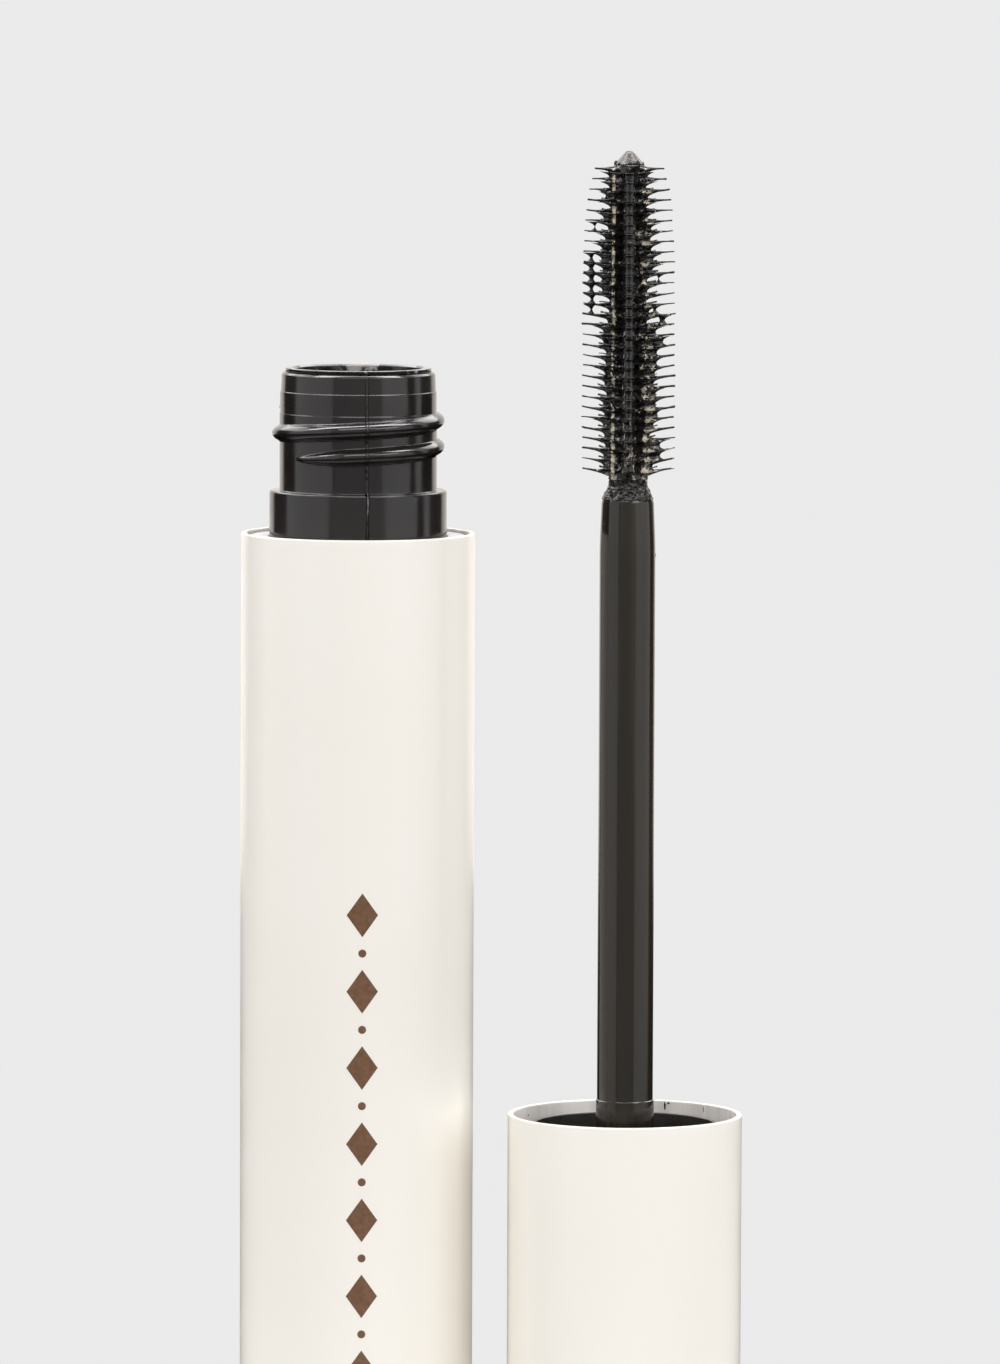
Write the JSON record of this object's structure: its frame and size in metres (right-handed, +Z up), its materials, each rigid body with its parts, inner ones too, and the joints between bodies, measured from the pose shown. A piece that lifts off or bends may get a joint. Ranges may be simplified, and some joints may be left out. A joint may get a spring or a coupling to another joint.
{
  "type": "mascara tube",
  "caption": "Open mascara: lacquered metal bottle with a black threaded neck, and its cap upside down beside it carrying the wand and moulded brush.",
  "frame": {"origin": "centre of the bottle's flat base, on the surface that it stands on", "axes": "+Z up along the bottle's axis, +X towards the applicator that stands beside it, -Y towards the viewer"},
  "size_m": [0.0402, 0.0236, 0.1208],
  "materials": {
    "lacquered_shell": "gloss",
    "black_gloss_plastic": "gloss",
    "black_satin_plastic": "satin",
    "pale_plastic": "satin",
    "wiper_rubber": "gloss",
    "bristle_rubber": "satin",
    "mascara_paste": "gloss",
    "weight_steel": "satin",
    "label_paper": "matte"
  },
  "bodies": {
    "bottle": {"bottle_sleeve": "lacquered_shell", "base_label": "label_paper", "vial_seat": "pale_plastic", "vial": "black_gloss_plastic", "shoulder_ring": "pale_plastic", "wiper": "wiper_rubber", "mascara_fill": "mascara_paste"},
    "seal": {"cap_liner": "pale_plastic"},
    "applicator": {"cap_shell": "lacquered_shell", "cap_weight": "weight_steel", "cap_core": "black_satin_plastic", "wand_stem": "black_satin_plastic", "brush_core": "black_satin_plastic", "bristle_sleeve": "bristle_rubber"}
  },
  "joints": [
    {"name": "applicator_lift", "type": "slide", "parent": "bottle", "child": "seal", "axis": [0, 0, 1], "range_m": [0, 0.092]},
    {"name": "cap_turn", "type": "hinge", "parent": "seal", "child": "applicator", "pos_m": [0.0215, -0.005, 0.03], "axis": [0, 0, 1], "range_deg": [0, 680]}
  ]
}
